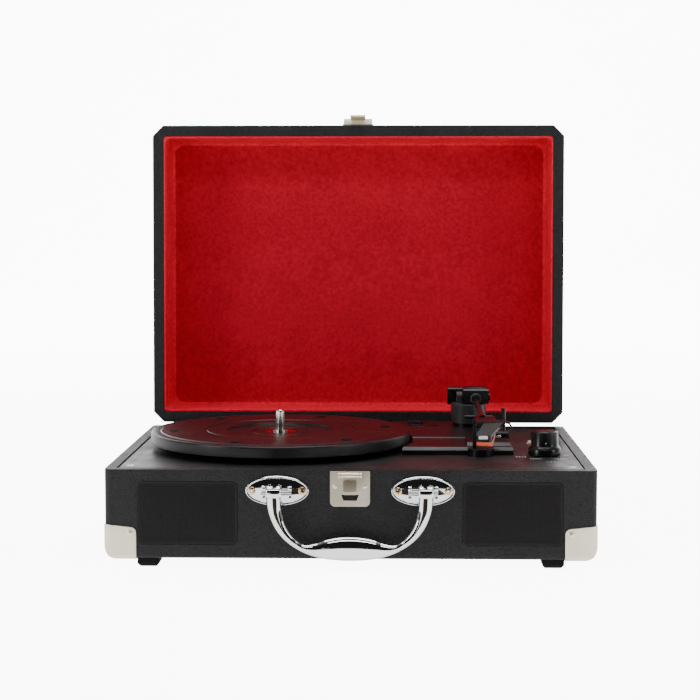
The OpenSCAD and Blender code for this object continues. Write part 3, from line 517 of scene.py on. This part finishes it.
def grille(side):
    """Pressed sheet with round-cornered rim and rows of hexagonal holes in a staggered pattern."""
    low, high = reach("speaker_grilles")
    width = 2 * (high.x - GRILLE_X)
    height = high.z - low.z
    cx, cz = side * GRILLE_X, (high.z + low.z) / 2
    bm = bmesh.new()
    rim = [(0.0, 0.9, 4.4), (0.0, 0.25, 4.4), (0.3, 0.0, 4.1), (1.2, 0.0, 3.4), (1.7, 0.5, 2.9),
           (1.7, 0.9, 2.9)]
    rings = []
    for inset, y, r in rim:
        outline = rounded(width - 2 * inset, height - 2 * inset, r, 8, (cx, cz))
        rings.append([Vector((x, y, z)) for x, z in outline])
    loft(bm, rings, loop=True)
    prism(bm, rounded(width - 2.4, height - 2.4, 3.2, 8, (cx, cz)), 1.25, 1.4, "y")
    pitch = 1.72
    hole = 0.36 * pitch
    rows = int((height - 5.2) / (pitch * math.sqrt(3) / 2))
    columns = int((width - 5.2) / pitch)
    cell = pitch / math.sqrt(3)
    for row in range(rows + 1):
        z = cz + (row - rows / 2) * pitch * math.sqrt(3) / 2
        for column in range(columns + row % 2):
            x = cx + (column - (columns - 1 + row % 2) / 2) * pitch
            outer = [bm.verts.new((x + cell * math.sin(a), 0.55, z + cell * math.cos(a)))
                     for a in (math.tau * i / 6 for i in range(6))]
            inner = [bm.verts.new((x + hole * math.sin(a), 0.58, z + hole * math.cos(a)))
                     for a in (math.tau * i / 6 for i in range(6))]
            back = [bm.verts.new((x + hole * math.sin(a), 1.2, z + hole * math.cos(a)))
                    for a in (math.tau * i / 6 for i in range(6))]
            for i in range(6):
                j = (i + 1) % 6
                bm.faces.new((outer[i], outer[j], inner[j], inner[i]))
                bm.faces.new((inner[i], inner[j], back[j], back[i]))
    edge_w, edge_h = width - 3.4, height - 3.4
    inner_w, inner_h = columns * pitch, rows * pitch * math.sqrt(3) / 2 + 0.6
    loft(bm, [[Vector((x, 0.6, z)) for x, z in rounded(edge_w, edge_h, 2.9, 8, (cx, cz))],
              [Vector((x, 0.57, z)) for x, z in rounded(inner_w, inner_h, 1.4, 8, (cx, cz))]], caps=False)
    bmesh.ops.remove_doubles(bm, verts=bm.verts, dist=0.02)
    name = "grille_left" if side < 0 else "grille_right"
    return piece(name, bm, "case", MESH, stands_for=("speaker_grilles",), sharp=30)


for side in (-1, 1):
    grille(side)

# ---------- handle ----------

pin_high = reach("front_pins")[1]
PIN = next(j for j in frame["record"]["behaviour"]["joints"] if j["name"] == "handle_swing")
HANDLE_Y, HANDLE_Z = (CASE.inverted() @ Vector(PIN["pos_m"]))[1:]
EYE_X = 54.4


def carry_handle():
    """Cast handle: rolled eyes, slim arms that turn inwards, and a leaf-shaped grip with a full face."""
    outer = [(59.8, 5), (60, 0), (59.2, -11), (56.9, -19.3), (53.4, -26.5), (48.3, -33), (41.5, -38.6),
             (33.1, -43.3), (25.1, -46.2), (17, -48), (8.4, -48.9), (0, -49.2)]
    inner = [(49.3, 5), (49.4, 0), (48.9, -10.8), (47.6, -17.3), (46, -22.7), (43.3, -28.1), (39, -33),
             (32.6, -37.2), (24.4, -36.2), (16.9, -33.5), (8.3, -31.9), (0, -31.4)]
    half = [(*o, *i) for o, i in zip(outer, inner)]
    whole = smooth_path(half + [(-a, b, -c, d) for a, b, c, d in reversed(half[:-1])], 6)
    bm = bmesh.new()
    rings = []
    for ox, oz, ix, iz in whole:
        out, into = Vector((ox, 0, oz + HANDLE_Z)), Vector((ix, 0, iz + HANDLE_Z))
        centre, radius = (out + into) / 2, (out - into) / 2
        width = radius.length
        deep = 3.3 + 1.5 * min(1.0, max(0.0, (width - 3) / 5)) if abs(ox) < 40 else 3.6
        ring = []
        for i in range(28):
            a = math.tau * i / 28
            c, s = math.cos(a), math.sin(a)
            ring.append(centre + radius * math.copysign(abs(c) ** 0.9, c)
                        + Vector((0, HANDLE_Y + deep * math.copysign(abs(s) ** 0.95, s), 0)))
        rings.append(ring)
    loft(bm, rings)
    for side in (-1, 1):
        profile = [(1.56, -5.2), (4.4, -5.2), (4.9, -4.6), (5.0, -3.8), (5.0, 3.8), (4.9, 4.6), (4.4, 5.2),
                   (1.56, 5.2)]
        ringset = [[lay("x", r * c, r * s, h) + Vector((side * EYE_X, HANDLE_Y, HANDLE_Z))
                    for c, s in circle(1, 48)] for r, h in profile]
        loft(bm, ringset, loop=True)
    return piece("handle_cast", bm, "handle", CHROME, stands_for=("carry_handle",), sharp=50)


carry_handle()


def dome(u, v):
    """How far the domed face of a handle plate stands out of the case at (u, v) from its middle."""
    span = min(1.0, math.hypot(u / 20.6, v / 8.8))
    return 1.15 + 1.5 * (1 - span * span) ** 0.62

# Distance of a plate's ears from its middle, and their thickness
EAR_X, EAR_T = 9.4, 2.4


def handle_plates():
    """Oval plates with a rolled rim and a domed middle, each with two ears for the handle's pin."""
    half = (pin_high.x - (EAR_X + EAR_T / 2))
    bm = bmesh.new()
    for side in (-1, 1):
        middle_x = side * half
        rings = []
        for a, b, y in [(22.9, 10.9, 0.0), (22.9, 10.9, 0.7), (22.7, 10.7, 1.15), (22.2, 10.2, 1.4),
                        (21.6, 9.7, 1.35), (21.1, 9.2, 1.1)]:
            rings.append([Vector((middle_x + a * c, -y, HANDLE_Z + b * s)) for c, s in circle(1, 96)])
        for k in range(1, 12):
            t = 1 - (k / 11) ** 1.3
            a, b = 20.6 * t, 8.8 * t
            rings.append([Vector((middle_x + a * c, -dome(a * c, b * s), HANDLE_Z + b * s))
                          for c, s in circle(1, 96)])
        loft(bm, rings[:-1])
        for ear in (-1, 1):
            turns = (math.radians(x) for x in range(100, -101, -20))
            tip = [(HANDLE_Y + 4 * math.cos(a), 4 * math.sin(a)) for a in turns]
            outline = [(u, HANDLE_Z + v) for u, v in [(-1.5, 4.6)] + tip]
            outline.append((-1.5, HANDLE_Z - 4.6))
            x = middle_x + ear * EAR_X
            prism(bm, outline, x - EAR_T / 2, x + EAR_T / 2, "x")
    return piece("plate_domes", bm, "case", PLATE_CHROME, stands_for=("handle_plates",), edge=0.35,
                 sharp=40)


handle_plates()


def cross_head(bm, place, r, height, arm=0.34, deep=0.9):
    """A domed screw head with a cross recess, standing on the XY plane of place."""
    steps = 64

    def cross(a, k):
        c, s = abs(math.cos(a)), abs(math.sin(a))
        w, length = arm * r * 0.36 * k, 0.62 * r * k
        big, small = max(c, s), min(c, s)
        return length / big if length * small / big <= w else w / small

    rings = [[(q * r, h * height)] * steps for q, h in
             ((1.0, -1.2), (1.0, 0.35), (0.97, 0.5), (0.85, 0.76), (0.72, 0.92))]
    rings.append([(cross(math.tau * (i + 0.5) / steps, 1.0), height) for i in range(steps)])
    rings.append([(cross(math.tau * (i + 0.5) / steps, 0.9), height - deep) for i in range(steps)])
    points = []
    for ring in rings:
        points.append([place @ Vector((q * math.cos(math.tau * (i + 0.5) / steps),
                                       q * math.sin(math.tau * (i + 0.5) / steps), h))
                       for i, (q, h) in enumerate(ring)])
    loft(bm, points)


def handle_screws():
    low, high = reach("handle_screws")
    bm = bmesh.new()
    r = (high.z - low.z) / 2
    for side in (-1, 1):
        for x in (side * (high.x - r), side * (high.x - r - 36)):
            place = (Matrix.Translation((x, low.y + 0.75, (low.z + high.z) / 2))
                     @ Matrix.Rotation(math.pi / 2, 4, "X") @ Matrix.Rotation(0.4 + x, 4, "Z"))
            cross_head(bm, place, r, 0.75)
    return piece("plate_screws", bm, "case", GOLD, stands_for=("handle_screws",), sharp=28)


handle_screws()

# ---------- latch ----------


def lever_face():
    """Darker brushed face let into the lever, inside its bright rolled edge."""
    low, high = reach("latch_lever")
    front = low.y + 0.55
    bm = bmesh.new()
    outline = rounded(9.6, 9.4, 1.9, 8, (0, low.z + 6.0))
    prism(bm, outline, front - 0.12, front + 0.1, "y")
    return piece("lever_face", bm, "latch", LEVER_FACE, edge=0.06)


lever_face()

# ---------- tonearm ----------

# Where the tube leaves the block: X and height
COLLAR = (99.7, 29.4)


def arm_collar():
    """Eight-sided collar where the tube leaves the block, with a turned ring inside it."""
    front = reach("arm_block")[0].y
    bm = bmesh.new()
    rings = []
    for r, y in [(3.0, 1.2), (4.7, 1.2), (4.7, 0.25), (4.45, 0.0), (3.5, 0.0), (3.3, 0.3), (3.0, 0.35)]:
        rings.append([lay("y", *p, front + y) + Vector((COLLAR[0], 0, COLLAR[1]))
                      for p in circle(r, 8, math.tau / 16)])
    loft(bm, rings, loop=True)
    return piece("arm_collar", bm, "tonearm", WARM, edge=0.12, sharp=30)


arm_collar()

# Middle of the tab: X and height
TAB = (96.2, 21.5)


def head_tab():
    """Pale plain tab on the head's front lip."""
    low = reach("headshell")[0]
    bm = bmesh.new()
    prism(bm, rounded(6.6, 2.4, 0.5, 4, (TAB[0], TAB[1])), low.y - 0.14, low.y + 0.3, "y")
    return piece("head_tab", bm, "tonearm", PALE, edge=0.1)


head_tab()

# ---------- knob and marks ----------

knob_low, knob_high = reach("volume_knob")
KNOB = ((knob_low.x + knob_high.x) / 2, (knob_low.y + knob_high.y) / 2)


def volume_knob():
    """Plain turned knob on a stepped skirt with a bevelled ring, and a small dot as its pointer."""
    top = knob_high.z
    skirt = -0.4
    profile = [(0, 2), (4.6, 2), (4.6, skirt + 0.2), (4.9, skirt), (12.2, skirt), (12.5, skirt + 0.3),
               (12.5, 4.1), (12.35, 4.4), (11.2, 5.9), (11.0, 6.1), (10.7, 6.15), (10.5, 6.3), (10.4, 6.6),
               (10.2, 16.6), (10.15, 17.0), (9.9, 17.3), (9.6, 17.35), (8.8, 17.4), (8.4, top), (0, top)]
    bm = bmesh.new()
    lathe(bm, profile, (*KNOB, 0), steps=144)
    lathe(bm, [(0, -9), (3, -9), (3, 2.1), (0, 2.1)], (*KNOB, 0), steps=32)
    piece("knob_grip", bm, "knob", GLOSS, stands_for=("volume_knob",), sharp=38)
    bm = bmesh.new()
    side = 10.34 - 0.2
    lathe(bm, [(0, -0.3), (0.55, -0.3), (0.55, 0.22), (0.35, 0.34), (0, 0.36)], steps=20, axis="y")
    bm.transform(Matrix.Translation((KNOB[0], KNOB[1] - side, 9.2)) @ Matrix.Scale(-1, 4, (0, 1, 0)))
    piece("knob_pointer", bm, "knob", PALE)


volume_knob()


def dial_marks():
    """Short pale dashes on the deck beside the knob."""
    bm = bmesh.new()
    deck = reach("deck_plate")[1].z
    for x, y, count, gap in [(128, 76.6, 4, 2.2), (138.5, 66.3, 5, 1.9), (157.4, 66.8, 5, 2.1),
                             (148.5, 50.5, 3, 2.6), (163.2, 84, 2, 1.8)]:
        for i in range(count):
            at = x + gap * (i - (count - 1) / 2)
            prism(bm, rounded(1.2, 3.4 if i % 2 else 2.4, 0.3, 3, (at, y)), deck, deck + 0.12)
    piece("dial_marks", bm, "case", PALE)


dial_marks()

# ---------- studio ----------


def aim(obj, at, target):
    obj.location = at
    obj.rotation_euler = (Vector(target) - Vector(at)).to_track_quat("-Z", "Y").to_euler()


def softbox(name, at, target, width, height, power):
    light = bpy.data.lights.new(name, "AREA")
    light.shape = "RECTANGLE"
    light.size, light.size_y = width, height
    light.energy = power
    obj = bpy.data.objects.new(name, light)
    SCENE.collection.objects.link(obj)
    aim(obj, at, target)


def studio():
    """Pale paper sweep and soft lights. The sky is dark in front and paler behind, pale to the camera."""
    world = bpy.data.worlds.new("studio")
    world.use_nodes = True
    tree = world.node_tree
    back = tree.nodes["Background"]
    back.inputs["Strength"].default_value = 1.0
    split = tree.nodes.new("ShaderNodeSeparateXYZ")
    tree.links.new(tree.nodes.new("ShaderNodeTexCoord").outputs["Generated"], split.inputs[0])
    spread = tree.nodes.new("ShaderNodeMapRange")
    spread.inputs["From Min"].default_value = -1.0
    tree.links.new(split.outputs["Y"], spread.inputs["Value"])
    depth = tree.nodes.new("ShaderNodeValToRGB")
    for element, position, level in zip(depth.color_ramp.elements, (0.15, 0.85), (0.012, 0.5)):
        element.position, element.color = position, (level, level, level, 1)
    tree.links.new(spread.outputs["Result"], depth.inputs["Fac"])
    pale = tree.nodes.new("ShaderNodeMixRGB")
    pale.inputs["Color2"].default_value = (0.93, 0.93, 0.93, 1)
    tree.links.new(tree.nodes.new("ShaderNodeLightPath").outputs["Is Camera Ray"], pale.inputs["Fac"])
    tree.links.new(depth.outputs["Color"], pale.inputs["Color1"])
    tree.links.new(pale.outputs["Color"], back.inputs["Color"])
    SCENE.world = world
    bm = bmesh.new()
    outline = [(-1.9, 0.0), (3.2, 0.0)]
    outline += [(3.2 + 2.0 * math.sin(a), 2.0 * (1 - math.cos(a)))
                for a in (math.pi / 2 * i / 16 for i in range(1, 17))]
    outline.append((5.2, 7.0))
    rows = [[bm.verts.new((x, y, z)) for x in (-9.0, 9.0)] for y, z in outline]
    for a, b in zip(rows, rows[1:]):
        bm.faces.new((a[0], a[1], b[1], b[0]))
    m = Nodes("studio_paper")
    paper = m.ramp(m.noise(2, 2), [(0.3, (0.86, 0.86, 0.86)), (0.7, (0.88, 0.88, 0.88))])
    seen = m.add("ShaderNodeLightPath").outputs["Is Camera Ray"]
    glow = m.maths("ADD", m.maths("MULTIPLY", seen, 9.0), 1.2)
    m.set(Base_Color=paper, Roughness=0.95, Specular_IOR_Level=0.1, Emission_Color=paper,
          Emission_Strength=glow)
    sweep = finish_mesh("studio_sweep", bm, None, m.material, 60)
    mid_height = (CAD_BOUNDS[0][2] + CAD_BOUNDS[1][2]) / 2
    look = (0, 0, mid_height * 0.6)
    dark = Nodes("dark_card")
    umber = dark.ramp(dark.noise(2, 2), [(0.3, (0.05, 0.035, 0.022)), (0.7, (0.02, 0.016, 0.012))])
    dark.set(Base_Color=umber, Roughness=1.0, Specular_IOR_Level=0.0)
    # The card lies on the floor in front, hidden from the camera, for the chrome to reflect
    corners = ((-0.24, -1.8), (0.28, -1.8), (0.11, -0.31), (-0.1, -0.31))
    bm = bmesh.new()
    bm.faces.new([bm.verts.new((x, y, 0.002)) for x, y in corners])
    card = finish_mesh("dark_card", bm, None, dark.material, 60)
    card.visible_camera = card.visible_diffuse = card.visible_shadow = False
    softbox("top_light", (0, -0.1, 1.7), (0, 0.02, 0), 1.5, 0.8, 19)
    softbox("left_light", (-1.7, -1.0, 0.8), look, 0.5, 1.2, 13)
    softbox("right_light", (1.8, -0.9, 0.9), look, 0.5, 1.2, 9)
    softbox("front_light", (0.1, -2.0, 2.1), look, 1.8, 0.4, 12)
    softbox("paper_light", (0, 1.9, 2.6), (0, 4.2, 1.0), 3.0, 1.0, 260)


def camera():
    data = bpy.data.cameras.new("camera")
    data.sensor_width = 36
    data.lens = 88.0
    obj = bpy.data.objects.new("camera", data)
    SCENE.collection.objects.link(obj)
    eye = CASE @ Vector((30.7, -1216.1, 185.0))
    yaw, pitch = math.radians(-1.447), math.radians(4.63)
    ahead = Vector((math.sin(yaw) * math.cos(pitch), math.cos(yaw) * math.cos(pitch), -math.sin(pitch)))
    aim(obj, eye, eye + ahead)
    SCENE.camera = obj


studio()
camera()
